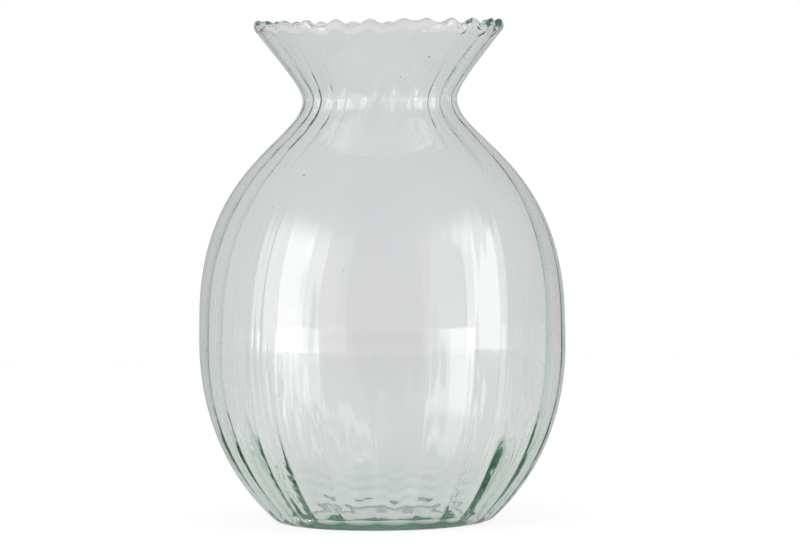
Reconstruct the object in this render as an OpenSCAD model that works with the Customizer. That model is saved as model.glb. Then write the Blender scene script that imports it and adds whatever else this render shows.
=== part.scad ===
// Mouth-blown glass vase with upright ribs, a round belly, a drawn-in neck, a flared
// collar and a scalloped, fire-rounded lip.
// The real vase is one continuous glass. It is parted here on level planes into the
// zones that a glassmaker names, and each zone is a closed solid that meets the next
// one face to face.
// Origin: the centre of the foot, on the table. +Z is up. The front is towards -Y,
// and angles run from the front towards +X.

/* [Outline] */
// Height of the widest part of the belly above the table
belly_z = 109; // [94:1:124]
// Rise from the widest part of the belly to the narrowest part of the neck
neck_rise = 120.5; // [105:0.5:135]
// Rise from the narrowest part of the neck to the highest crest of the lip
lip_rise = 43.5; // [36:0.5:54]
// Width across the belly at its widest, over the ribs
belly_d = 199.6; // [180:0.1:220]
// Width across the neck at its narrowest, over the ribs
neck_d = 84; // [72:1:96]
// Width across the mouth, over the lip
mouth_d = 136; // [116:1:150]
// Width of the foot where it stands on the table
foot_d = 110; // [96:1:124]
// Radius of the rounded heel around the foot
heel_round = 8.5; // [5:0.5:12]

/* [Glass thickness] */
// Wall of the belly, between the ribs
belly_wall = 3; // [2:0.1:5]
// Wall of the neck and the collar, between the ribs
neck_wall = 3.4; // [2.4:0.1:5]
// Height of the inside floor at its edge
floor_z = 4.6; // [3.6:0.1:7]
// Glass around the edge of the inside floor, measured level
floor_wall = 7; // [5:0.5:14]
// Depth of the dish in the inside floor
floor_dish = 0.6; // [0.2:0.1:1.2]
// Depth of the hollow under the foot
kick_depth = 0.6; // [0.2:0.1:1.2]
// Width of the flat ring that stands on the table, around that hollow
standing_w = 5; // [3:0.5:12]
// Height at which the thick bottom has thinned to the belly's wall
thick_bottom_z = 42; // [34:1:60]

/* [Ribs] */
// Number of upright ribs, and of scallops in the lip
ribs = 24; // [12:1:32]
// How far a rib stands out of the wall at the neck
neck_relief = 0.9; // [0.2:0.05:1.5]
// How far the ribs swell further in the heel
heel_relief = 2; // [0:0.1:2.5]
// Height at which that swell has faded
heel_ribs_z = 50; // [30:1:70]
// Turn of the first rib from the front, in degrees
rib_turn = -6.4; // [-15:0.1:15]
// Sharpness of the groove between two ribs, where 1 is a plain notch
groove_sharpness = 2; // [1:0.1:4]

/* [Lip] */
// Thickness of the rounded lip
lip_d = 4.8; // [3.6:0.1:6]
// Height of a scallop, from trough to crest
scallop_h = 3.2; // [0:0.1:4.5]
// Sharpness of a scallop's crest, where 1 is an even wave
scallop_sharpness = 1.6; // [1:0.1:3]
// How much the lip rises and falls by hand around the mouth
lip_wander = 0.8; // [0:0.1:1.5]

/* [Colour] */
// Colour of the glass
glass_colour = "#C4D6CE"; // [#C4D6CE:Pale green, #D6DADA:Clear]
// Colour of the thick glass around the foot
thick_glass_colour = "#7FA593"; // [#7FA593:Bottle green, #AEB8B6:Clear]

/* [Hidden] */

// Fineness of the facets: steps around each rib, and levels in each zone
steps_per_rib = 4;
heel_levels = [6, 8];
lower_belly_levels = [7, 5];
upper_belly_levels = [6, 5];
shoulder_levels = [5, 5];
neck_levels = [7, 6];
collar_levels = [3, 3];
arc_steps = 8;
lip_step = 30;
around = ribs * steps_per_rib;

// Lean of the wall where it leaves the heel, up from level
heel_lean = 43;
foot_r = foot_d / 2;
belly_r = belly_d / 2;
neck_r = neck_d / 2;
mouth_r = mouth_d / 2;
lip_r = lip_d / 2;
kick_r = foot_r - standing_w;

// The outline: how far each curve keeps to its end's direction, as shares of its rise
heel_share = 0.567;
belly_under_share = 0.1;
belly_over_share = 0.716;
neck_under_share = 0.184;
neck_over_share = 0.22;
lip_under_share = 0.08;

// The heel ends and the lower curve starts here
heel_end = [foot_r + heel_round * sin(heel_lean), heel_round * (1 - cos(heel_lean))];
neck_z = belly_z + neck_rise;
lip_top_z = neck_z + lip_rise;
lower_rise = belly_z - heel_end[1];
// The collar's curve ends at the top of the lowest trough of the lip
collar_rise = lip_rise - scallop_h - lip_wander;
collar_end_z = neck_z + collar_rise;

lower_curve = [
    heel_end,
    heel_end + lower_rise * heel_share * [cos(heel_lean), sin(heel_lean)],
    [belly_r, belly_z - lower_rise * belly_under_share],
    [belly_r, belly_z]
];
upper_curve = [
    [belly_r, belly_z],
    [belly_r, belly_z + neck_rise * belly_over_share],
    [neck_r, neck_z - neck_rise * neck_under_share],
    [neck_r, neck_z]
];
collar_curve = [
    [neck_r, neck_z],
    [neck_r, neck_z + collar_rise * neck_over_share],
    [mouth_r, collar_end_z - collar_rise * lip_under_share],
    [mouth_r, collar_end_z]
];

// The planes between the zones, as shares of the rise that each one lies in
heel_top_share = 0.24;
shoulder_foot_share = 0.53;
neck_foot_share = 0.88;
neck_top_share = 0.28;
// Plain wall under the lip's lowest trough, as a share of the lip's thickness
lip_foot_share = 1.5;
heel_top_z = floor_z + heel_top_share * (belly_z - floor_z);
shoulder_foot_z = belly_z + shoulder_foot_share * neck_rise;
neck_foot_z = belly_z + neck_foot_share * neck_rise;
neck_top_z = neck_z + neck_top_share * collar_rise;
collar_top_z = collar_end_z - lip_foot_share * lip_d;

// The bottom's inside curve, as shares of its width and its rise
floor_edge_share = 0.3;
floor_edge_lean = 40;
bottom_over_share = 0.45;
// Levels of the heel's inside crowd towards the floor
heel_crowding = 1.7;
// Inner face of a rib, as a share of how far it stands out
inside_rib_share = 0.2;
// Height over which the ribs fade in above the foot, as a share of the floor's height
rib_fade_share = 0.9;
// How fast the heel's swell fades, where 1 is even
heel_fade = 1.5;
// Height over which the slope of the outline is taken
slope_step = 0.05;
halvings = 26;

function bezier(c, t) =
    pow(1 - t, 3) * c[0] + 3 * pow(1 - t, 2) * t * c[1] + 3 * (1 - t) * t * t * c[2] + pow(t, 3) * c[3];

// How far along a rising curve the height z lies, found by halving
function share_at(c, z, low = 0, high = 1, left = halvings) =
    let (middle = (low + high) / 2)
    left == 0 ? middle
    : bezier(c, middle)[1] < z ? share_at(c, z, middle, high, left - 1)
    : share_at(c, z, low, middle, left - 1);

function radius_on(c, z) = bezier(c, share_at(c, z))[0];

// The rounded heel, from the standing ring up to heel_end
function heel_radius(z) = foot_r + sqrt(pow(heel_round, 2) - pow(heel_round - z, 2));

// Outside radius over the ribs
function outside(z) =
    z < heel_end[1] ? heel_radius(z)
    : z < belly_z ? radius_on(lower_curve, z)
    : z < neck_z ? radius_on(upper_curve, z)
    : z < collar_end_z ? radius_on(collar_curve, z)
    : mouth_r;

function slope(z) = (outside(z + slope_step) - outside(z - slope_step)) / (2 * slope_step);

// A level cut through a leaning wall is wider than the wall is thick
function level_width(wall, z) = wall * sqrt(1 + pow(slope(z), 2));

function ease(share) = let (s = max(0, min(1, share))) s * s * (3 - 2 * s);

// Rib height at level z: low on the wide belly, high at the neck and in the bottom
function relief(z) =
    (neck_relief * neck_r / outside(z) + heel_relief * pow(max(0, 1 - z / heel_ribs_z), heel_fade))
    * ease((z - floor_z) / (rib_fade_share * floor_z));

function wall(z) = belly_wall + (neck_wall - belly_wall) * ease((z - belly_z) / neck_rise);

function thin_inside(z) = outside(z) - relief(z) - level_width(wall(z), z);

// The thick bottom's inside, from the floor's edge up to the thin wall
floor_r = outside(floor_z) - floor_wall;
bottom_rise = thick_bottom_z - floor_z;
bottom_join = [thin_inside(thick_bottom_z), thick_bottom_z];
bottom_reach = floor_edge_share * (bottom_join[0] - floor_r);
bottom_curve = [
    [floor_r, floor_z],
    [floor_r + bottom_reach, floor_z + bottom_reach * tan(floor_edge_lean)],
    bottom_join - bottom_over_share * bottom_rise * [slope(thick_bottom_z), 1],
    bottom_join
];

// Inside radius between the ribs
function inside(z) = z < thick_bottom_z ? radius_on(bottom_curve, z) : thin_inside(z);

// A rib's section across the wall: 1 on its crest, 0 in the groove between two ribs
function crest(a) =
    let (turns = ribs * (a - rib_turn) / 360)
    1 - pow(2 * abs(turns - round(turns)), groove_sharpness);

// A scallop's height around the lip: 1 on its crest, 0 between two scallops
function scallop(a) = pow((1 + cos(ribs * (a - rib_turn))) / 2, scallop_sharpness);

// Rise and fall of the lip by hand, from 0 at its lowest to 1
function hand(a) = (2 + cos(2 * a + 35) + cos(5 * a - 60)) / 4;

function place(r, a, z) = [r * sin(a), -r * cos(a), z];

function angles() = [for (i = [0 : around - 1]) rib_turn + 360 * i / around];

function outside_ring(z) = [
    for (a = angles()) place(outside(z) - relief(z) * (1 - crest(a)), a, z)
];

function inside_ring(z) = [
    for (a = angles()) place(inside(z) - inside_rib_share * relief(z) * crest(a), a, z)
];

// Levels from z0 to z1, even where crowding is 1 and closer together near z0 above that
function levels(z0, z1, n, crowding = 1) = [for (i = [0 : n]) z0 + (z1 - z0) * pow(i / n, crowding)];

// The same levels from the top down
function reversed(list) = [for (i = [len(list) - 1 : -1 : 0]) list[i]];

// One zone of the wall: up its outside, then down its inside
function wall_rings(z0, z1, n, crowding = 1) = concat(
    [for (z = levels(z0, z1, n[0])) outside_ring(z)],
    [for (z = reversed(levels(z0, z1, n[1], crowding))) inside_ring(z)]
);

// Middle of the rounded lip at angle a, in radius and height
function lip_middle(a) = [
    mouth_r - lip_r - relief(collar_end_z) * (1 - crest(a)),
    lip_top_z - lip_r - scallop_h * (1 - scallop(a)) - lip_wander * (1 - hand(a))
];

// A ring on the rounded lip, at b degrees up from its outermost line
function lip_ring(b) = [
    for (a = angles())
        let (m = lip_middle(a)) place(m[0] + lip_r * cos(b), a, m[1] + lip_r * sin(b))
];

lip_start = -30;
lip_stop = 210;

// A closed solid from rings that lead up the outside and down the inside
module ring_of_glass(rings) {
    n = len(rings[0]);
    m = len(rings);
    polyhedron(
        points = [for (ring = rings) each ring],
        faces = [
            for (i = [0 : m - 1], j = [0 : n - 1])
                let (
                    up = (i + 1) % m,
                    next = (j + 1) % n
                )
                each [
                    [i * n + j, up * n + j, up * n + next],
                    [i * n + j, up * n + next, i * n + next]
                ]
        ]
    );
}

// The hollow under the foot and the dish in the floor are shallow, even curves
function hollow(depth, reach, at, share) = [reach * share, at + depth * (1 - share * share)];

module foot_disc() {
    steps = [for (i = [0 : arc_steps]) i / arc_steps];
    color(thick_glass_colour)
        rotate_extrude($fn = around)
            polygon(concat(
                [for (s = steps) hollow(kick_depth, kick_r, 0, s)],
                [for (s = steps) let (a = s * heel_lean)
                    [foot_r + heel_round * sin(a), heel_round * (1 - cos(a))]],
                [for (z = levels(heel_end[1], floor_z, 2)) if (z > heel_end[1]) [outside(z), z]],
                [for (s = reversed(steps)) hollow(-floor_dish, floor_r, floor_z, s)]
            ));
}

module heel() {
    color(thick_glass_colour)
        ring_of_glass(wall_rings(floor_z, heel_top_z, heel_levels, heel_crowding));
}

module lower_belly() {
    color(glass_colour)
        ring_of_glass(wall_rings(heel_top_z, belly_z, lower_belly_levels));
}

module upper_belly() {
    color(glass_colour)
        ring_of_glass(wall_rings(belly_z, shoulder_foot_z, upper_belly_levels));
}

module shoulder() {
    color(glass_colour)
        ring_of_glass(wall_rings(shoulder_foot_z, neck_foot_z, shoulder_levels));
}

module neck() {
    color(glass_colour)
        ring_of_glass(wall_rings(neck_foot_z, neck_top_z, neck_levels));
}

module collar() {
    color(glass_colour)
        ring_of_glass(wall_rings(neck_top_z, collar_top_z, collar_levels));
}

// The rounded lip, with a scallop over each rib
module lip() {
    color(glass_colour)
        ring_of_glass(concat(
            [outside_ring(collar_top_z)],
            [for (b = [lip_start : lip_step : lip_stop]) lip_ring(b)],
            [inside_ring(collar_top_z)]
        ));
}

foot_disc();
heel();
lower_belly();
upper_belly();
shoulder();
neck();
collar();
lip();
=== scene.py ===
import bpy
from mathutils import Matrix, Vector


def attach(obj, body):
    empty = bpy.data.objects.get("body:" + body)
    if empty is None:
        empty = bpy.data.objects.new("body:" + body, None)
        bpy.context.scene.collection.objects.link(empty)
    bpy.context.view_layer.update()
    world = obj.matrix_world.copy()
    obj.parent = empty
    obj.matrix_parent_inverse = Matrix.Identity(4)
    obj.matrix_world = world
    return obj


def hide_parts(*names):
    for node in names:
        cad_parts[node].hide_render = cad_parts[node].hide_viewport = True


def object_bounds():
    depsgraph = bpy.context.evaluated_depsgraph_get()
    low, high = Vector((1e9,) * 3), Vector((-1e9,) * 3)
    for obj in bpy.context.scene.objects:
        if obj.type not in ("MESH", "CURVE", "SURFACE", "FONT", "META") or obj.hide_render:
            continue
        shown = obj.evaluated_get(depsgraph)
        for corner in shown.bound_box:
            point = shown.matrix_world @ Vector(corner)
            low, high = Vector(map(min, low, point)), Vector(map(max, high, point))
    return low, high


bl_info = {
    "name": "Ribbed Glass Vase",
    "version": (1, 0, 0),
    "blender": (4, 5, 0),
    "location": "View3D > Sidebar > Vase",
    "description": "Builds a mouth-blown ribbed glass vase on its packed frame, and the table it stands on",
    "category": "Add Mesh",
}

import math

import bmesh
import bpy
import numpy as np
from bpy.props import FloatProperty, FloatVectorProperty, IntProperty, PointerProperty
from bpy.types import Operator, Panel, PropertyGroup
from mathutils import Matrix, Vector

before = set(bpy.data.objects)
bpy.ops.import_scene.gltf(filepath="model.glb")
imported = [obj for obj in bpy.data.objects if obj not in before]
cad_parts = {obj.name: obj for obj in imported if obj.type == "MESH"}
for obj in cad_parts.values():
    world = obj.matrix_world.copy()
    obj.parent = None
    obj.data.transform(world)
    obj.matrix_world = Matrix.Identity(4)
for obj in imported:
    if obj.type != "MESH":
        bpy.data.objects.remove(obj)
cad_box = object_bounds()

MM = 0.001
LIGHT_BOUNCES = 32
ZONES = "foot_disc", "heel", "lower_belly", "upper_belly", "shoulder", "neck", "collar", "lip"

# The hand of the maker. Each table has stops of a direction and the value there. Directions are in
# degrees, 0 at the front and 90 at the right.
# How many degrees a scallop of the lip strays from its even place, and its share of the full depth
SCALLOP_STRAYS = (
    (-36, 0.6), (-21, 1.3), (-6, 2.4), (9, 3.3), (24, -1.5), (39, -2.8), (54, -4.3), (69, -2.4),
    (84, -4.8), (114, 3.0), (174, 1.5), (189, 4.1), (204, 5.6), (219, 4.9), (270, 2.0),
)
SCALLOP_DEPTHS = (
    (-72, 0.4), (-45, 0.5), (-36, 1.0), (-5, 1.0), (8, 0.6), (17, 0.35), (30, 0.8), (55, 1.0),
    (120, 0.7), (180, 0.8), (240, 0.7),
)
# How many degrees a rib strays from its even place, by the direction of its foot
RIB_STRAYS = (
    (-77, 5.5), (-62, 1.0), (-47, 0.0), (-32, -4.0), (-17, -3.5), (13, 0.0), (28, 0.0), (43, -2.3),
    (58, 2.5), (90, 1.0), (150, -2.0), (210, 2.0),
)
# How bold the ribs are, where 1 is their plain height
RIB_BOLDNESS = (
    (-92, 0.5), (-80, 0.8), (-68, 2.4), (-50, 1.8), (-35, 0.9), (20, 0.6), (40, 1.1), (52, 1.6),
    (70, 2.4), (82, 0.8), (92, 0.5), (110, 1.0), (135, 2.4), (225, 2.4), (250, 1.0),
)
# The inside corner of the bottom is tight at 0 and thick at 1
CORNER_THICKNESS = ((-49, 1.0), (-41, 0.0), (41, 0.0), (49, 1.0), (180, 1.0))
# How much of its swelling at the back that corner has
BACK_SHARES = ((-145, 1.0), (-100, 0.0), (100, 0.0), (145, 1.0))
# Shares of the full depth that the upright cords and the level ripples have
CORD_STRENGTHS = (
    (-62, 0.0), (-45, 0.8), (0, 0.7), (45, 1.0), (65, 0.1), (115, 0.1), (140, 1.0), (220, 1.0), (245, 0.0),
)
RIPPLE_STRENGTHS = (
    (-58, 0.2), (-38, 1.0), (38, 1.0), (58, 0.2), (120, 0.2), (150, 1.0), (210, 1.0), (240, 0.2),
)
# Waves that add up to a slow, uneven rise and fall: how many go round the vase, and their shares
HAND_WAVES = ((2, 0.4), (3, 0.3), (5, 0.2), (7, 0.1))
# Quicker waves that shift the ripples: how far, how many go round the vase, and where they start
RIPPLE_WAVES = ((1.2, 29, 1), (0.8, 47, 0))

# Bubbles in the glass: direction, share of the wall's height, radius in mm and how drawn out they are
BUBBLES_IN_FRONT = (
    (14, 0.896, 0.45, 1.0), (29, 0.936, 0.55, 1.1), (37, 0.926, 0.35, 1.0), (57, 0.905, 0.4, 1.3),
    (67, 0.917, 0.4, 1.2), (62, 0.93, 0.3, 1.5), (34, 0.91, 0.25, 1.0), (-34, 0.702, 0.5, 1.2),
    (22, 0.945, 0.2, 1.0), (-12, 0.52, 0.3, 1.6),
)
# The bubbles at the sides and the back take these four values at random from these ranges
BUBBLES_BEHIND = 12
BUBBLE_RANGES = ((75, 330), (0.1, 0.97), (0.15, 0.4), (1.2, 2.5))

# Starts of the random draws
LIP_DRAW = 2
CORD_DRAW = 4
RIPPLE_DRAW = 7
BUBBLE_DRAW = 11

# The lamps: name, directions of their two sides, radiance, and share of the width that fades
LAMPS = (
    ("left_lamp", (-76, -48), 3.6, 0.07),
    ("left_panel", (-50, -20), 0.8, 0.12),
    ("right_lamp", (54, 82), 3.2, 0.12),
    ("right_panel", (26, 54), 0.8, 0.12),
)
LAMP_ELEVATIONS = -8, 46
LAMP_DISTANCE = 1.3
LAMP_MIDDLE_LEVEL = 0.12
LAMP_TOP_FADE = 0.35

# Brightness of the room around the vase, by direction, as seen through the glass and mirrored in it
ROOM_THROUGH_GLASS = (
    (-180, 0.74), (-110, 0.72), (-60, 0.5), (0, 0.4), (60, 0.42), (100, 0.5), (125, 0.72), (180, 0.74),
)
ROOM_MIRRORED = (
    (-180, 0.5), (-135, 0.15), (-84, 0.08), (-76, 0.25), (-20, 0.25), (-14, 0.12), (4, 0.12), (11, 0.38),
    (17, 0.16), (24, 0.25), (80, 0.2), (88, 0.05), (135, 0.05), (180, 0.5),
)
# Its tint, and the light that it sheds on matt surfaces
ROOM_TONE = 1.0, 0.975, 1.005
ROOM_ON_MATT = 0.75

# Brightness of the table as the camera sees it, through the glass and mirrored in it
TABLE_TO_CAMERA = 1.15
TABLE_THROUGH_GLASS = 0.72
TABLE_MIRRORED = 0.3
# Share of that glow where the table is seen, tone of the matt rest, and roughness of its polish
TABLE_GLOW_SHARE = 0.7
TABLE_MATT_TONE = 0.8
TABLE_ROUGHNESS = 0.06


def widest(node):
    """The radius of the outermost point of a node of the frame."""
    points = np.empty(len(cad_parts[node].data.vertices) * 3, np.float32)
    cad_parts[node].data.vertices.foreach_get("co", points)
    points = points.reshape(-1, 3)
    return float(np.hypot(points[:, 0], points[:, 1]).max())


def length(name, value, description):
    """A size in metres."""
    return FloatProperty(name=name, default=value, description=description, unit="LENGTH")


def turning(name, degrees, description):
    """An angle, given in degrees."""
    value = math.radians(degrees)
    return FloatProperty(name=name, default=value, description=description, subtype="ANGLE")


def number(name, value, description, **more):
    """A plain number, or one with the unit or subtype that more gives."""
    return FloatProperty(name=name, default=value, description=description, **more)


class VaseSizes(PropertyGroup):
    """The sizes of the glass. Levels are heights above the table."""

    lip_top: length("Lip top", cad_box[1].z, "Level of the lip's highest crest")
    belly_level: length("Belly level", 109 * MM, "Level of the widest part")
    neck_level: length("Neck level", 229.5 * MM, "Level of the narrowest part")
    floor_level: length("Floor level", 5.4 * MM, "Level of the inside floor's edge")
    belly_radius: length("Belly radius", 99.6 * MM, "Radius over the ribs at the belly")
    neck_radius: length("Neck radius", 42 * MM, "Radius over the ribs at the neck")
    mouth_radius: length("Mouth radius", widest("lip"), "Radius over the lip")
    foot_radius: length("Foot radius", 55 * MM, "Radius of the foot on the table")
    heel_round: length("Heel round", 8.5 * MM, "Radius of the rounded heel")
    belly_wall: length("Belly wall", 2.6 * MM, "Thickness of the belly's wall")
    neck_wall: length("Neck wall", 3.4 * MM, "Thickness of the neck's and collar's wall")
    floor_radius: length("Floor radius", 56 * MM, "Radius of the inside floor at the front and back")
    side_floor_radius: length("Side floor radius", 55 * MM, "Radius of the inside floor at the sides")
    floor_dish: length("Floor dish", 0.8 * MM, "Depth of the dish in the inside floor")
    kick_radius: length("Kick radius", 50 * MM, "Radius of the hollow under the foot")
    kick_depth: length("Kick depth", 0.8 * MM, "Depth of the hollow under the foot")
    thick_bottom: length("Thick bottom", 27 * MM, "Level where the bottom has thinned to the wall in front")
    side_bottom: length("Side bottom", 55 * MM, "Level where it has thinned to the wall at the sides")
    back_swell: length("Back swell", 7 * MM, "How much further the bottom's corner swells in at the back")
    back_swell_height: length("Back swell height", 34 * MM, "Height of that swelling")
    lip_thickness: length("Lip thickness", 4.0 * MM, "Thickness of the rounded lip")


class RibSizes(PropertyGroup):
    """The ribs, the scallops in the lip and the marks of the hand."""

    count: IntProperty(name="Ribs", default=24, min=12, max=32, description="Number of upright ribs")
    turn: turning("Turn", -6.4, "Turn of the first rib from the front")
    twist: turning("Twist", 17.5, "How far the ribs turn from foot to lip")
    groove_sharpness: number("Groove sharpness", 2.0, "At 1 the ribs are pointed, and above that rounder")
    scallop_sharpness: number("Scallop sharpness", 1.6, "1 is an even wave. Above that the crests narrow")
    neck_relief: length("Neck relief", 0.6 * MM, "How far a rib stands out at the neck")
    heel_relief: length("Heel relief", 0.9 * MM, "How far the ribs swell further in the bottom")
    heel_top: length("Heel ribs top", 65 * MM, "Level at which the deep ribs of the heel have faded")
    scallop: length("Scallop", 3.2 * MM, "Height of a scallop, from trough to crest")
    lip_wander: length("Lip wander", 0.8 * MM, "How much the lip rises and falls around the mouth")
    cord_depth: length("Cord depth", 0.22 * MM, "Height of the broad upright cords in the glass")
    ripple_depth: length("Ripple depth", 0.24 * MM, "Height of the level ripples low on the inside")
    ripple_length: length("Ripple length", 6 * MM, "Height of one ripple")


class GlassFinish(PropertyGroup):
    """The colour and the surface of the glass."""

    absorbing: FloatVectorProperty(
        name="Depth colour", size=3, subtype="COLOR", default=(0.2, 0.575, 0.365), min=0, max=1,
        description="Colour that the glass takes on with depth",
    )
    density: number("Depth density", 12.0, "Absorption for each metre of glass")
    ior: number("IOR", 1.5, "Refraction of soda-lime glass")
    roughness: number("Roughness", 0.02, "Roughness of the fire-polished surface", subtype="FACTOR")
    cords_around: number("Cords around", 170.0, "Fine cords, counted around the vase")
    cord_length: length("Cord length", 90 * MM, "How far a fine cord runs before it changes")
    surface_depth: length("Surface depth", 0.03 * MM, "Depth of the fine cords and waves")


class StudioSizes(PropertyGroup):
    """The camera, the table and the lamps around it."""

    camera_distance: length("Camera distance", 2.34, "Distance of the camera from the vase's axis")
    camera_level: length("Camera level", 0.245, "Level of the camera above the table")
    lens: number("Lens", 193.63, "Focal length in mm", unit="CAMERA")
    sensor_width: number("Sensor width", 36.0, "Width of the camera's sensor in mm", unit="CAMERA")
    roll: turning("Roll", 0.63, "Tilt of the camera about its line of sight")
    aim_side: length("Aim side", 10.0 * MM, "How far right of the axis the camera aims")
    aim_level: length("Aim level", 134.6 * MM, "Level that the camera aims at")
    table_ior: number("Table IOR", 1.6, "How strongly the table mirrors the lamps")
    table_back: length("Table back", 1.35, "How far the table reaches behind the vase")
    table_front: length("Table front", 3.0, "How far the table reaches before the vase")


def smooth(share):
    """Eases from 0 to 1."""
    share = np.clip(share, 0, 1)
    return share * share * (3 - 2 * share)


def around(angle, stops):
    """A value that changes around the vase, by stops of (degrees, value)."""
    degrees, values = zip(*stops)
    return np.interp(np.degrees(angle), degrees, values, period=360)


class Section:
    """The section of the wall: outside, inside and rib height at each level."""

    # Lean of the wall where it leaves the rounded heel, and how far the curves of the outside keep
    # their direction at each end, as shares of the curve's height
    heel_lean = math.radians(43)
    heel_share = 0.567
    belly_under_share = 0.10
    belly_over_share = 0.716
    neck_under_share = 0.184
    neck_over_share = 0.22
    lip_under_share = 0.08
    # The same for the inside corner of the bottom, where it is tight and where it is thick
    tight_lean = math.radians(9)
    tight_edge_share = 0.42
    tight_over_share = 0.45
    thick_lean = math.radians(20)
    thick_edge_share = 0.15
    thick_over_share = 0.4
    # How far below the lip's top the wall ends and the scallops start to bend it, in radii of the lip
    wall_top_radii = 1.5
    dip_start_radii = 8
    # The ribs' height inside, as a share of that outside
    inside_rib_share = 1.5
    # How much of the ribs' height is gone at the top of the collar
    collar_fade_share = 0.85
    # Below 1, a bold rib is less bold above the bottom than in it
    upper_boldness_power = 0.3
    # Level where the ribs start, and the height over which they come in
    fade_start = 1 * MM
    fade_height = 5 * MM

    def __init__(self, vase, ribs):
        self.vase = vase
        self.ribs = ribs
        self.lip_radius = vase.lip_thickness / 2
        self.collar_end = vase.lip_top - ribs.scallop - ribs.lip_wander
        self.wall_top = vase.lip_top - self.wall_top_radii * self.lip_radius
        self.dip_start = vase.lip_top - self.dip_start_radii * self.lip_radius
        lean = Vector((math.cos(self.heel_lean), math.sin(self.heel_lean)))
        self.heel_end = Vector((
            vase.foot_radius + vase.heel_round * math.sin(self.heel_lean),
            vase.heel_round * (1 - math.cos(self.heel_lean)),
        ))
        lower = vase.belly_level - self.heel_end.y
        upper = vase.neck_level - vase.belly_level
        collar = self.collar_end - vase.neck_level
        joined = np.concatenate((
            self.curve(
                self.heel_end,
                self.heel_end + lean * lower * self.heel_share,
                (vase.belly_radius, vase.belly_level - lower * self.belly_under_share),
                (vase.belly_radius, vase.belly_level),
            ),
            self.curve(
                (vase.belly_radius, vase.belly_level),
                (vase.belly_radius, vase.belly_level + upper * self.belly_over_share),
                (vase.neck_radius, vase.neck_level - upper * self.neck_under_share),
                (vase.neck_radius, vase.neck_level),
            ),
            self.curve(
                (vase.neck_radius, vase.neck_level),
                (vase.neck_radius, vase.neck_level + collar * self.neck_over_share),
                (vase.mouth_radius, self.collar_end - collar * self.lip_under_share),
                (vase.mouth_radius, self.collar_end),
            ),
        ))
        self.levels, self.radii = joined[:, 1], joined[:, 0]
        self.tight = self.bottom(
            vase.floor_radius, vase.thick_bottom,
            self.tight_lean, self.tight_edge_share, self.tight_over_share,
        )
        self.thick = self.bottom(
            vase.side_floor_radius, vase.side_bottom,
            self.thick_lean, self.thick_edge_share, self.thick_over_share,
        )

    def bottom(self, floor_radius, top, lean, edge_share, over_share):
        """Points up the inside of the bottom, from the floor's edge to where the wall is thin."""
        join = Vector((float(self.thin_inside(top)), top))
        reach = edge_share * (join.x - floor_radius)
        rise = Vector((float(self.slope(top)), 1)) * over_share * (top - self.vase.floor_level)
        return self.curve(
            (floor_radius, self.vase.floor_level),
            (floor_radius + reach, self.vase.floor_level + reach * math.tan(lean)),
            join - rise,
            join,
        )

    @staticmethod
    def curve(a, b, c, d, steps=600):
        """Points along a Bezier curve in radius and level."""
        t = np.linspace(0, 1, steps)[:, None]
        a, b, c, d = (np.array(p, float) for p in (a, b, c, d))
        return (1 - t) ** 3 * a + 3 * (1 - t) ** 2 * t * b + 3 * (1 - t) * t * t * c + t ** 3 * d

    def outside(self, level):
        """Radius over the ribs."""
        vase = self.vase
        low = np.clip(vase.heel_round - level, 0, vase.heel_round)
        heel = vase.foot_radius + np.sqrt(vase.heel_round ** 2 - low ** 2)
        return np.where(level < self.heel_end.y, heel, np.interp(level, self.levels, self.radii))

    def slope(self, level, step=0.05 * MM):
        """How fast the outside widens on the way up."""
        return (self.outside(level + step) - self.outside(level - step)) / (2 * step)

    def relief(self, level, boldness=1.0):
        """How far the ribs stand out. They are deepest in the bottom, and fade out in the collar."""
        vase, ribs = self.vase, self.ribs
        swell = ribs.heel_relief * np.clip(1 - level / ribs.heel_top, 0, None)
        fade = smooth((level - self.fade_start) / self.fade_height)
        collar = smooth((level - vase.neck_level) / (vase.lip_top - vase.neck_level))
        pressed = ribs.neck_relief * vase.neck_radius / self.outside(level)
        pressed = pressed * (1 - self.collar_fade_share * collar)
        return (pressed * boldness ** self.upper_boldness_power + swell * boldness) * fade

    def wall(self, level):
        """Thickness of the thin wall."""
        vase = self.vase
        share = smooth((level - vase.belly_level) / (vase.neck_level - vase.belly_level))
        return vase.belly_wall + (vase.neck_wall - vase.belly_wall) * share

    def thin_inside(self, level):
        """Radius inside where the wall is thin, between the ribs."""
        width = self.wall(level) * np.sqrt(1 + self.slope(level) ** 2)
        return self.outside(level) - self.relief(level) - width

    def side_share(self, angle):
        """0 where the bottom's corner is tight, in front, and 1 where it is thick."""
        return smooth(around(angle, CORNER_THICKNESS))

    def inside_along(self, bottom, level):
        """Radius inside, up one of the two corners of the bottom and on up the thin wall."""
        low = np.interp(level, bottom[:, 1], bottom[:, 0])
        return np.where(level < bottom[-1, 1], low, self.thin_inside(level))

    def back_swell(self, level, angle):
        """How far the bottom's corner swells in at the back."""
        vase = self.vase
        back = smooth(around(angle, BACK_SHARES))
        return vase.back_swell * back * smooth(1 - (level - vase.floor_level) / vase.back_swell_height)

    def inside(self, level, angle):
        """Radius inside, between the ribs."""
        side = self.side_share(angle)
        tight = self.inside_along(self.tight, level)
        thick = self.inside_along(self.thick, level)
        return (1 - side) * tight + side * thick - self.back_swell(level, angle)

    def crest(self, angle):
        """1 on the crest of a rib and 0 between two ribs."""
        turns = self.ribs.count * (angle - self.ribs.turn) / (2 * math.pi)
        off_crest = np.abs(turns - np.round(turns)) * 2
        return 1 - off_crest ** self.ribs.groove_sharpness

    def scallop_crest(self, angle):
        """1 on the crest of a scallop and 0 between two scallops."""
        wave = (1 + np.cos(self.ribs.count * (angle - self.ribs.turn))) / 2
        return wave ** self.ribs.scallop_sharpness


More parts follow.
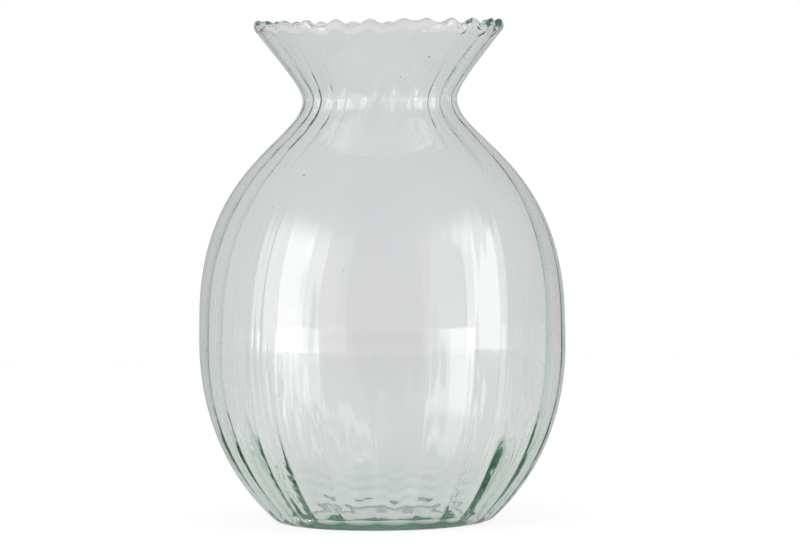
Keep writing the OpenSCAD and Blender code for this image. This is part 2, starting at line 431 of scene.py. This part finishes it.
def hand(angle, draw):
    """A slow, uneven rise and fall around the vase, from -1 to 1."""
    starts = np.random.default_rng(draw).uniform(0, 2 * math.pi, len(HAND_WAVES))
    return sum(
        share * np.cos(waves * angle + start) for (waves, share), start in zip(HAND_WAVES, starts)
    )


def even(start, end, count, crowding=1.0):
    """count levels from start up to just before end. Above 1, crowding brings the first ones closer."""
    return start + (end - start) * (np.arange(count) / count) ** crowding


class GlassWall:
    """Rings of points, up the outside, over the lip and down the inside."""

    columns_per_rib = 16
    # Steps across the hollow, the standing ring, the heel's round and the inside floor
    hollow_steps = 9
    foot_steps = 4
    heel_steps = 8
    floor_steps = 12
    # Rings of the rounded lip, and the degrees from first to last: 0 is its outside and 180 its inside
    lip_rings = 17
    lip_turns = -20, 200
    # The waves that make the broad cords: how many there are, how often one goes round the vase, the
    # height over which it drifts, how far it drifts, and how uneven they make the cords
    cord_count = 8
    cord_turns = 30, 90
    cord_drifts = 30 * MM, 90 * MM
    cord_wander = 3
    cord_swing = 2
    # Where the cords start and the height over which they deepen, as shares of the bottom's level
    cord_start_share = 0.5
    cord_rise_share = 0.6
    # Where they have thinned out and over what height, as shares of the belly's level, and what is left
    cord_top_share = 1.1
    cord_fall_share = 0.5
    cord_high_share = 0.25
    # How far the slow rise and fall shifts the ripples
    ripple_wander = 4
    bubble_segments = 12
    bubble_rings = 8

    def __init__(self, vase, ribs):
        self.section = Section(vase, ribs)
        self.vase, self.ribs = vase, ribs
        columns = ribs.count * self.columns_per_rib
        self.angle = ribs.turn + np.arange(columns) * 2 * math.pi / columns
        self.crest = self.section.crest(self.angle)
        rng = np.random.default_rng(CORD_DRAW)
        self.cords = []
        for _ in range(self.cord_count):
            turns = int(rng.integers(*self.cord_turns))
            phase = rng.uniform(0, 2 * math.pi)
            self.cords.append((turns, phase, rng.uniform(*self.cord_drifts)))
        self.rings = []

    def scallop(self):
        """How far the lip dips below its top at each angle."""
        ribs = self.ribs
        depth = ribs.scallop * around(self.angle, SCALLOP_DEPTHS)
        wander = ribs.lip_wander * (1 + hand(self.angle, LIP_DRAW)) / 2
        return depth * (1 - self.section.scallop_crest(self.angle)) + wander

    def turned(self, level):
        """Where each column stands at a level: the ribs twist on the way up and stray by hand."""
        vase = self.vase
        at_lip = smooth((level - vase.neck_level) / (vase.lip_top - vase.neck_level))
        rib_stray = around(self.angle - self.ribs.twist, RIB_STRAYS)
        stray = (1 - at_lip) * rib_stray + at_lip * around(self.angle, SCALLOP_STRAYS)
        return self.angle + np.radians(stray) - self.ribs.twist * (1 - (level / vase.lip_top) ** 3)

    def add(self, radius, level, turn_level=None):
        """A ring of points. It turns as its own level does, or as another one."""
        angle = self.turned(level if turn_level is None else turn_level)
        level = np.broadcast_to(level, angle.shape)
        radius = np.broadcast_to(radius, angle.shape)
        self.rings.append(np.stack((radius * np.sin(angle), -radius * np.cos(angle), level), axis=1))

    def add_level(self, level, outside):
        """A ring of the wall, between the ribs and over them."""
        section = self.section
        angle = self.turned(level)
        share = smooth((level - section.dip_start) / (section.wall_top - section.dip_start))
        dipped = level - self.scallop() * share
        relief = section.relief(dipped, around(angle, RIB_BOLDNESS))
        if outside:
            radius = section.outside(dipped) - relief * (1 - self.crest)
        else:
            radius = section.inside(dipped, angle) - section.inside_rib_share * relief * self.crest
            radius = radius - self.ripple(level)
        self.add(radius - self.cord(level), dipped, level)

    def cord(self, level):
        """Depth of the broad cords, which run up the glass and are deepest low down."""
        vase = self.vase
        fall = vase.belly_level * self.cord_fall_share
        low = smooth((vase.belly_level * self.cord_top_share - level) / fall)
        rise = vase.side_bottom * self.cord_rise_share
        start = smooth((level - vase.side_bottom * self.cord_start_share) / rise)
        wave = sum(
            np.cos(turns * self.angle + phase + self.cord_wander * math.sin(level / drift))
            for turns, phase, drift in self.cords
        )
        height_share = self.cord_high_share + (1 - self.cord_high_share) * low
        strength = around(self.turned(level), CORD_STRENGTHS) * height_share * start
        return self.ribs.cord_depth * strength * (1 + wave / len(self.cords) * self.cord_swing)

    def ripple(self, level):
        """Depth of the level ripples low on the inside, which wander up and down around the vase."""
        vase, ribs = self.vase, self.ribs
        start = smooth((level - vase.floor_level) / ribs.ripple_length)
        end = smooth((vase.floor_level + vase.back_swell_height - level) / ribs.ripple_length)
        wander = self.ripple_wander * hand(self.angle, RIPPLE_DRAW)
        for turn, waves, phase in RIPPLE_WAVES:
            wander = wander + turn * np.cos(waves * self.angle + phase)
        wave = (1 + np.sin(2 * math.pi * level / ribs.ripple_length + wander)) / 2
        return ribs.ripple_depth * around(self.turned(level), RIPPLE_STRENGTHS) * start * end * wave

    def lip_ring(self, turn):
        """A ring of the rounded lip, turned so far up and over from its outside."""
        section, vase = self.section, self.vase
        r = section.lip_radius
        level = vase.lip_top - r - self.scallop()
        relief = section.relief(level, around(self.turned(vase.lip_top), RIB_BOLDNESS))
        middle = section.outside(level) - r - relief * (1 - self.crest)
        self.add(middle + r * math.cos(turn), level + r * math.sin(turn), vase.lip_top)

    def build(self):
        """All rings in order, from the middle of the hollow to the middle of the inside floor."""
        vase, section = self.vase, self.section
        for share in even(0, 1, self.hollow_steps)[1:]:
            self.add(vase.kick_radius * share, vase.kick_depth * (1 - share * share))
        for share in even(0, 1, self.foot_steps):
            self.add(vase.kick_radius + (vase.foot_radius - vase.kick_radius) * share, 0.0)
        for share in even(0, 1, self.heel_steps):
            turn = share * section.heel_lean
            self.add(
                vase.foot_radius + vase.heel_round * math.sin(turn),
                vase.heel_round * (1 - math.cos(turn)),
            )
        # Stretches of the wall, outside and further down inside: their ends, their rings and crowding
        for start, end, count, crowding in (
            (section.heel_end.y, vase.side_bottom, 26, 1.2),
            (vase.side_bottom, vase.belly_level, 16, 1.0),
            (vase.belly_level, vase.neck_level, 38, 0.8),
            (vase.neck_level, section.wall_top, 20, 1.0),
        ):
            for level in even(start, end, count, crowding):
                self.add_level(float(level), True)
        for turn in np.radians(np.linspace(*self.lip_turns, self.lip_rings)):
            self.lip_ring(float(turn))
        for start, end, count, crowding in (
            (vase.neck_level, section.wall_top, 20, 1.0),
            (vase.belly_level, vase.neck_level, 33, 0.8),
            (vase.side_bottom, vase.belly_level, 13, 1.0),
            (vase.floor_level, vase.side_bottom, 38, 1.4),
        ):
            for level in even(start, end, count, crowding)[::-1]:
                self.add_level(float(level), False)
        edge = section.inside(vase.floor_level, self.turned(vase.floor_level))
        for share in even(0, 1, self.floor_steps)[:0:-1]:
            self.add(edge * share, vase.floor_level - vase.floor_dish * (1 - share * share))
        return self

    def add_bubbles(self, mesh):
        """Puts the bubbles into the wall's mesh."""
        rng = np.random.default_rng(BUBBLE_DRAW)
        behind = [[rng.uniform(*span) for span in BUBBLE_RANGES] for _ in range(BUBBLES_BEHIND)]
        whole = bmesh.new()
        whole.from_mesh(mesh)
        for degrees, height_share, size, stretch in (*BUBBLES_IN_FRONT, *behind):
            level = self.section.wall_top * height_share
            ball = self.bubble(math.radians(degrees), level, size * MM, stretch)
            part = bpy.data.meshes.new("bubble")
            ball.to_mesh(part)
            ball.free()
            whole.from_mesh(part)
            bpy.data.meshes.remove(part)
        whole.to_mesh(mesh)
        whole.free()

    def bubble(self, azimuth, level, radius, stretch):
        """A small closed bubble in the middle of the wall. Its faces look into the bubble."""
        section = self.section
        width = section.wall(level) * math.hypot(1, float(section.slope(level)))
        middle = section.outside(level) - width / 2
        centre = Vector((middle * math.sin(azimuth), -middle * math.cos(azimuth), level))
        ball = bmesh.new()
        bmesh.ops.create_uvsphere(
            ball, u_segments=self.bubble_segments, v_segments=self.bubble_rings, radius=radius
        )
        bmesh.ops.scale(ball, vec=(1, 1, stretch), verts=ball.verts)
        bmesh.ops.translate(ball, vec=centre, verts=ball.verts)
        bmesh.ops.reverse_faces(ball, faces=ball.faces)
        return ball

    def to_mesh(self, name):
        """Joins the rings with faces, closes them at both middles and adds the bubbles."""
        rings, columns = len(self.rings), len(self.angle)
        points = np.concatenate(self.rings)
        middles = [(0, 0, self.vase.kick_depth), (0, 0, self.vase.floor_level - self.vase.floor_dish)]
        under, over = rings * columns, rings * columns + 1
        faces = []
        for j in range(columns):
            k = (j + 1) % columns
            faces.append((under, k, j))
            for i in range(rings - 1):
                a, b = i * columns, (i + 1) * columns
                faces.append((a + j, a + k, b + k, b + j))
            last = (rings - 1) * columns
            faces.append((last + j, last + k, over))
        mesh = bpy.data.meshes.new(name)
        mesh.from_pydata([tuple(p) for p in points] + middles, [], faces)
        self.add_bubbles(mesh)
        mesh.validate()
        mesh.shade_smooth()
        return mesh


def new_material(name):
    """An empty material and its node tree."""
    material = bpy.data.materials.new(name)
    material.use_nodes = True
    material.node_tree.nodes.clear()
    return material, material.node_tree


def node_of(tree, kind, inputs=None, **settings):
    """A new node with its settings and inputs. An input is a value or the socket that feeds it."""
    node = tree.nodes.new(kind)
    for name, value in settings.items():
        setattr(node, name, value)
    for name, value in (inputs or {}).items():
        socket = node.inputs[name] if isinstance(name, int) else live(node.inputs, name)
        if isinstance(value, bpy.types.NodeSocket):
            tree.links.new(value, socket)
        else:
            socket.default_value = value
    return node


def live(sockets, name):
    """The socket of that name that the node's settings leave in use."""
    return next(s for s in sockets if s.name == name and s.enabled)


def calc(tree, operation, *values):
    """The result of a Math node on these values or sockets."""
    return node_of(tree, "ShaderNodeMath", dict(enumerate(values)), operation=operation).outputs[0]


def group_sockets(tree, inputs, outputs):
    """Makes a group's sockets. An input is a name and its default."""
    for name, default in inputs:
        socket = tree.interface.new_socket(name, in_out="INPUT", socket_type="NodeSocketFloat")
        socket.default_value = default
    for name in outputs:
        tree.interface.new_socket(name, in_out="OUTPUT", socket_type="NodeSocketFloat")
    return tree.nodes.new("NodeGroupInput"), tree.nodes.new("NodeGroupOutput")


def blown_surface_group():
    """Upright cords and the faint waves that blowing leaves in a glass surface."""
    tree = bpy.data.node_groups.new("blown_surface", "ShaderNodeTree")
    given, out = group_sockets(
        tree,
        (
            ("Cords Around", 60.0), ("Cord Length", 0.1), ("Low Level", 0.09),
            ("High Share", 0.35), ("Wave Size", 0.02), ("Waves", 0.3),
        ),
        ("Height",),
    )
    coords = node_of(tree, "ShaderNodeTexCoord")
    axes = node_of(tree, "ShaderNodeSeparateXYZ", {0: coords.outputs["Object"]})
    flat = node_of(tree, "ShaderNodeCombineXYZ", {"X": axes.outputs["X"], "Y": axes.outputs["Y"]})
    outward = node_of(tree, "ShaderNodeVectorMath", {0: flat.outputs[0]}, operation="NORMALIZE")
    round_it = node_of(tree, "ShaderNodeVectorMath", {
        0: outward.outputs[0], "Scale": calc(tree, "DIVIDE", given.outputs["Cords Around"], 2 * math.pi),
    }, operation="SCALE")
    climb = node_of(tree, "ShaderNodeCombineXYZ", {
        "Z": calc(tree, "DIVIDE", axes.outputs["Z"], given.outputs["Cord Length"]),
    })
    along = node_of(tree, "ShaderNodeVectorMath", {
        0: round_it.outputs[0], 1: climb.outputs[0],
    }, operation="ADD")
    cords = node_of(tree, "ShaderNodeTexNoise", {
        "Vector": along.outputs[0], "Scale": 1.0, "Detail": 3.0, "Roughness": 0.55,
    })
    low = node_of(tree, "ShaderNodeMapRange", {
        "Value": axes.outputs["Z"],
        "From Min": given.outputs["Low Level"],
        "From Max": 0.0,
        "To Min": given.outputs["High Share"],
        "To Max": 1.0,
    })
    deep = calc(tree, "MULTIPLY", live(cords.outputs, "Fac"), live(low.outputs, "Result"))
    waves = node_of(tree, "ShaderNodeTexNoise", {
        "Vector": coords.outputs["Object"],
        "Scale": calc(tree, "DIVIDE", 1.0, given.outputs["Wave Size"]),
        "Detail": 1.0,
    })
    height = calc(tree, "MULTIPLY_ADD", live(waves.outputs, "Fac"), given.outputs["Waves"], deep)
    tree.links.new(height, out.inputs["Height"])
    return tree


def glass_material(finish):
    """Clear glass that takes its colour from its depth alone, with a faintly uneven surface."""
    material, tree = new_material("green_tinted_glass")
    surface = node_of(tree, "ShaderNodeGroup", node_tree=blown_surface_group())
    surface.inputs["Cords Around"].default_value = finish.cords_around
    surface.inputs["Cord Length"].default_value = finish.cord_length
    uneven = node_of(tree, "ShaderNodeBump", {
        "Strength": 1.0, "Distance": finish.surface_depth, "Height": surface.outputs["Height"],
    })
    glass = node_of(tree, "ShaderNodeBsdfPrincipled", {
        "Base Color": (1, 1, 1, 1),
        "Roughness": finish.roughness,
        "IOR": finish.ior,
        "Transmission Weight": 1.0,
        "Normal": uneven.outputs["Normal"],
    })
    depth = node_of(tree, "ShaderNodeVolumeAbsorption", {
        "Color": (*finish.absorbing, 1),
        "Density": finish.density,
    })
    node_of(tree, "ShaderNodeOutputMaterial", {
        "Surface": glass.outputs["BSDF"],
        "Volume": depth.outputs["Volume"],
    })
    return material


class VASE_OT_glass(Operator):
    """Builds the glass wall, from the foot over the lip to the inside floor"""

    bl_idname = "vase.glass"
    bl_label = "Glass wall"

    def execute(self, context):
        scene = context.scene
        wall = GlassWall(scene.vase_sizes, scene.vase_ribs).build()
        piece = bpy.data.objects.new("vase_glass", wall.to_mesh("vase_glass"))
        scene.collection.objects.link(piece)
        piece.data.materials.append(glass_material(scene.vase_finish))
        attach(piece, "root")
        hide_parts(*ZONES)
        return {"FINISHED"}


def table_material(studio):
    """White to the camera and pale behind glass, with a matt part that takes the shadow.

    The table that the glass mirrors is darker, and mirrors the lamps in turn.
    """
    material, tree = new_material("white_table")
    path = node_of(tree, "ShaderNodeLightPath")
    matt = node_of(tree, "ShaderNodeBsdfDiffuse", {"Color": (*(TABLE_MATT_TONE,) * 3, 1)})
    seen_level = node_of(tree, "ShaderNodeMix", {
        "Factor": path.outputs["Is Camera Ray"], "A": TABLE_THROUGH_GLASS, "B": TABLE_TO_CAMERA,
    })
    level = node_of(tree, "ShaderNodeMix", {
        "Factor": path.outputs["Is Reflection Ray"],
        "A": live(seen_level.outputs, "Result"),
        "B": TABLE_MIRRORED,
    })
    glow = node_of(tree, "ShaderNodeEmission", {
        "Color": (1, 1, 1, 1), "Strength": live(level.outputs, "Result"),
    })
    gloss = node_of(tree, "ShaderNodeBsdfGlossy", {"Color": (1, 1, 1, 1), "Roughness": TABLE_ROUGHNESS})
    skim = node_of(tree, "ShaderNodeFresnel", {"IOR": studio.table_ior})
    seen = calc(tree, "MAXIMUM", path.outputs["Is Camera Ray"], path.outputs["Is Glossy Ray"])
    glow_share = calc(
        tree, "MAXIMUM", calc(tree, "MULTIPLY", seen, TABLE_GLOW_SHARE), path.outputs["Is Reflection Ray"]
    )
    mixed = node_of(tree, "ShaderNodeMixShader", {
        0: glow_share, 1: matt.outputs["BSDF"], 2: glow.outputs["Emission"],
    })
    polished = node_of(tree, "ShaderNodeMixShader", {
        0: calc(tree, "MULTIPLY", skim.outputs[0], path.outputs["Is Reflection Ray"]),
        1: mixed.outputs[0],
        2: gloss.outputs[0],
    })
    node_of(tree, "ShaderNodeOutputMaterial", {"Surface": polished.outputs[0]})
    return material


def build_table(studio, scene):
    """A flat white table that ends behind the vase."""
    mesh = bpy.data.meshes.new("table")
    half_width = studio.table_front
    corners = [
        (-half_width, -studio.table_front), (half_width, -studio.table_front),
        (half_width, studio.table_back), (-half_width, studio.table_back),
    ]
    mesh.from_pydata([(x, y, 0) for x, y in corners], [], [(0, 1, 2, 3)])
    table = bpy.data.objects.new("table", mesh)
    scene.collection.objects.link(table)
    mesh.materials.append(table_material(studio))


def place_camera(studio, scene):
    """The camera where the photograph was taken from."""
    data = bpy.data.cameras.new("camera")
    data.sensor_fit = "HORIZONTAL"
    data.sensor_width = studio.sensor_width
    data.lens = studio.lens
    data.clip_start, data.clip_end = 0.05, 100
    camera = bpy.data.objects.new("camera", data)
    scene.collection.objects.link(camera)
    spot = Vector((0, -studio.camera_distance, studio.camera_level))
    aim = Vector((studio.aim_side, 0, studio.aim_level))
    turn = (aim - spot).to_track_quat("-Z", "Y").to_matrix().to_4x4()
    camera.matrix_world = Matrix.Translation(spot) @ turn @ Matrix.Rotation(-studio.roll, 4, "Z")
    scene.camera = camera


def soft_box(scene, name, sides, radiance, side_fade):
    """A rectangular lamp between two directions seen from the vase, in degrees."""
    middle = math.radians(sum(sides) / 2)
    lift = math.radians(sum(LAMP_ELEVATIONS) / 2)
    half_width = math.radians(sides[1] - sides[0]) / 2
    half_height = math.radians(LAMP_ELEVATIONS[1] - LAMP_ELEVATIONS[0]) / 2
    data = bpy.data.lights.new(name, "AREA")
    data.shape = "RECTANGLE"
    data.size = 2 * LAMP_DISTANCE * math.tan(half_width)
    data.size_y = 2 * LAMP_DISTANCE * math.tan(half_height)
    data.energy = radiance * math.pi * data.size * data.size_y
    lamp = bpy.data.objects.new(name, data)
    scene.collection.objects.link(lamp)
    centre = Vector((0, 0, LAMP_MIDDLE_LEVEL))
    away = Vector((
        math.sin(middle) * math.cos(lift), -math.cos(middle) * math.cos(lift), math.sin(lift),
    ))
    turn = (-away).to_track_quat("-Z", "Y").to_matrix().to_4x4()
    lamp.matrix_world = Matrix.Translation(centre + away * LAMP_DISTANCE) @ turn
    lamp.visible_camera = False
    data.use_nodes = True
    fade_edges(data.node_tree, LAMP_TOP_FADE, side_fade)


def fade_edges(tree, top_fade, side_fade):
    """Lets a lamp's light fade towards its top and its two sides, over these shares of its size."""
    tree.nodes.clear()
    spot = node_of(tree, "ShaderNodeNewGeometry")
    axes = node_of(tree, "ShaderNodeSeparateXYZ", {0: spot.outputs["Parametric"]})
    share = 1.0
    for axis, edge, inner in (
        ("X", 0.0, side_fade),
        ("X", 1.0, 1 - side_fade),
        ("Y", 1.0, 1 - top_fade),
    ):
        fade = node_of(tree, "ShaderNodeMapRange", {
            "Value": axes.outputs[axis], "From Min": edge, "From Max": inner,
        }, interpolation_type="SMOOTHSTEP")
        share = calc(tree, "MULTIPLY", share, live(fade.outputs, "Result"))
    light = node_of(tree, "ShaderNodeEmission", {"Color": (1, 1, 1, 1), "Strength": share})
    node_of(tree, "ShaderNodeOutputLight", {"Surface": light.outputs[0]})


def round_the_room(tree, azimuth, stops):
    """A brightness that changes with the direction, by stops of (degrees, brightness)."""
    ramp = node_of(tree, "ShaderNodeValToRGB", {"Fac": azimuth})
    ramp.color_ramp.interpolation = "EASE"
    elements = ramp.color_ramp.elements
    while len(elements) > 1:
        elements.remove(elements[-1])
    for i, (degrees, level) in enumerate(stops):
        spot = (degrees + 180) / 360
        element = elements[0] if i == 0 else elements.new(spot)
        element.position = spot
        element.color = (*(level * tone for tone in ROOM_TONE), 1)
    return ramp.outputs["Color"]


def build_world(scene):
    """The room: white to the camera, and less bright behind the glass and in its reflections."""
    world = bpy.data.worlds.new("studio")
    world.use_nodes = True
    tree = world.node_tree
    tree.nodes.clear()
    path = node_of(tree, "ShaderNodeLightPath")
    coords = node_of(tree, "ShaderNodeTexCoord")
    axes = node_of(tree, "ShaderNodeSeparateXYZ", {0: coords.outputs["Generated"]})
    turn = calc(tree, "ARCTAN2", axes.outputs["X"], calc(tree, "MULTIPLY", axes.outputs["Y"], -1.0))
    azimuth = node_of(tree, "ShaderNodeMapRange", {
        "Value": turn, "From Min": -math.pi, "From Max": math.pi,
    })
    azimuth = live(azimuth.outputs, "Result")
    level = node_of(tree, "ShaderNodeMix", {
        "Factor": path.outputs["Is Reflection Ray"],
        "A": round_the_room(tree, azimuth, ROOM_THROUGH_GLASS),
        "B": round_the_room(tree, azimuth, ROOM_MIRRORED),
    }, data_type="RGBA")
    matt = node_of(tree, "ShaderNodeMix", {
        "Factor": path.outputs["Is Diffuse Ray"],
        "A": live(level.outputs, "Result"),
        "B": (*(ROOM_ON_MATT,) * 3, 1),
    }, data_type="RGBA")
    shown = node_of(tree, "ShaderNodeMix", {
        "Factor": path.outputs["Is Camera Ray"], "A": live(matt.outputs, "Result"), "B": (1, 1, 1, 1),
    }, data_type="RGBA")
    back = node_of(tree, "ShaderNodeBackground", {"Color": live(shown.outputs, "Result"), "Strength": 1.0})
    node_of(tree, "ShaderNodeOutputWorld", {"Surface": back.outputs[0]})
    scene.world = world


class VASE_OT_stage(Operator):
    """Sets up the table, the lamps, the world and the camera"""

    bl_idname = "vase.stage"
    bl_label = "Stage"

    def execute(self, context):
        scene = context.scene
        studio = scene.vase_studio
        scene.view_settings.view_transform = "Standard"
        scene.cycles.max_bounces = LIGHT_BOUNCES
        scene.cycles.glossy_bounces = LIGHT_BOUNCES
        scene.cycles.transmission_bounces = LIGHT_BOUNCES
        build_table(studio, scene)
        place_camera(studio, scene)
        for name, sides, radiance, side_fade in LAMPS:
            soft_box(scene, name, sides, radiance, side_fade)
        build_world(scene)
        return {"FINISHED"}


class VASE_PT_panel(Panel):
    """Lists the sizes and the steps"""

    bl_idname = "VASE_PT_panel"
    bl_label = "Ribbed Glass Vase"
    bl_space_type = "VIEW_3D"
    bl_region_type = "UI"
    bl_category = "Vase"

    def draw(self, context):
        scene = context.scene
        for title, group in (
            ("Glass", scene.vase_sizes), ("Ribs", scene.vase_ribs),
            ("Finish", scene.vase_finish), ("Studio", scene.vase_studio),
        ):
            box = self.layout.box()
            box.label(text=title)
            for name in group.bl_rna.properties.keys():
                if name not in ("rna_type", "name"):
                    box.prop(group, name)
        self.layout.operator(VASE_OT_glass.bl_idname)
        self.layout.operator(VASE_OT_stage.bl_idname)


GROUPS = {
    "vase_sizes": VaseSizes,
    "vase_ribs": RibSizes,
    "vase_finish": GlassFinish,
    "vase_studio": StudioSizes,
}
CLASSES = (*GROUPS.values(), VASE_OT_glass, VASE_OT_stage, VASE_PT_panel)


def register():
    for item in CLASSES:
        bpy.utils.register_class(item)
    for name, group in GROUPS.items():
        setattr(bpy.types.Scene, name, PointerProperty(type=group))


def unregister():
    for name in GROUPS:
        delattr(bpy.types.Scene, name)
    for item in reversed(CLASSES):
        bpy.utils.unregister_class(item)


def main():
    register()
    bpy.ops.vase.glass()
    bpy.ops.vase.stage()


if __name__ == "__main__":
    main()
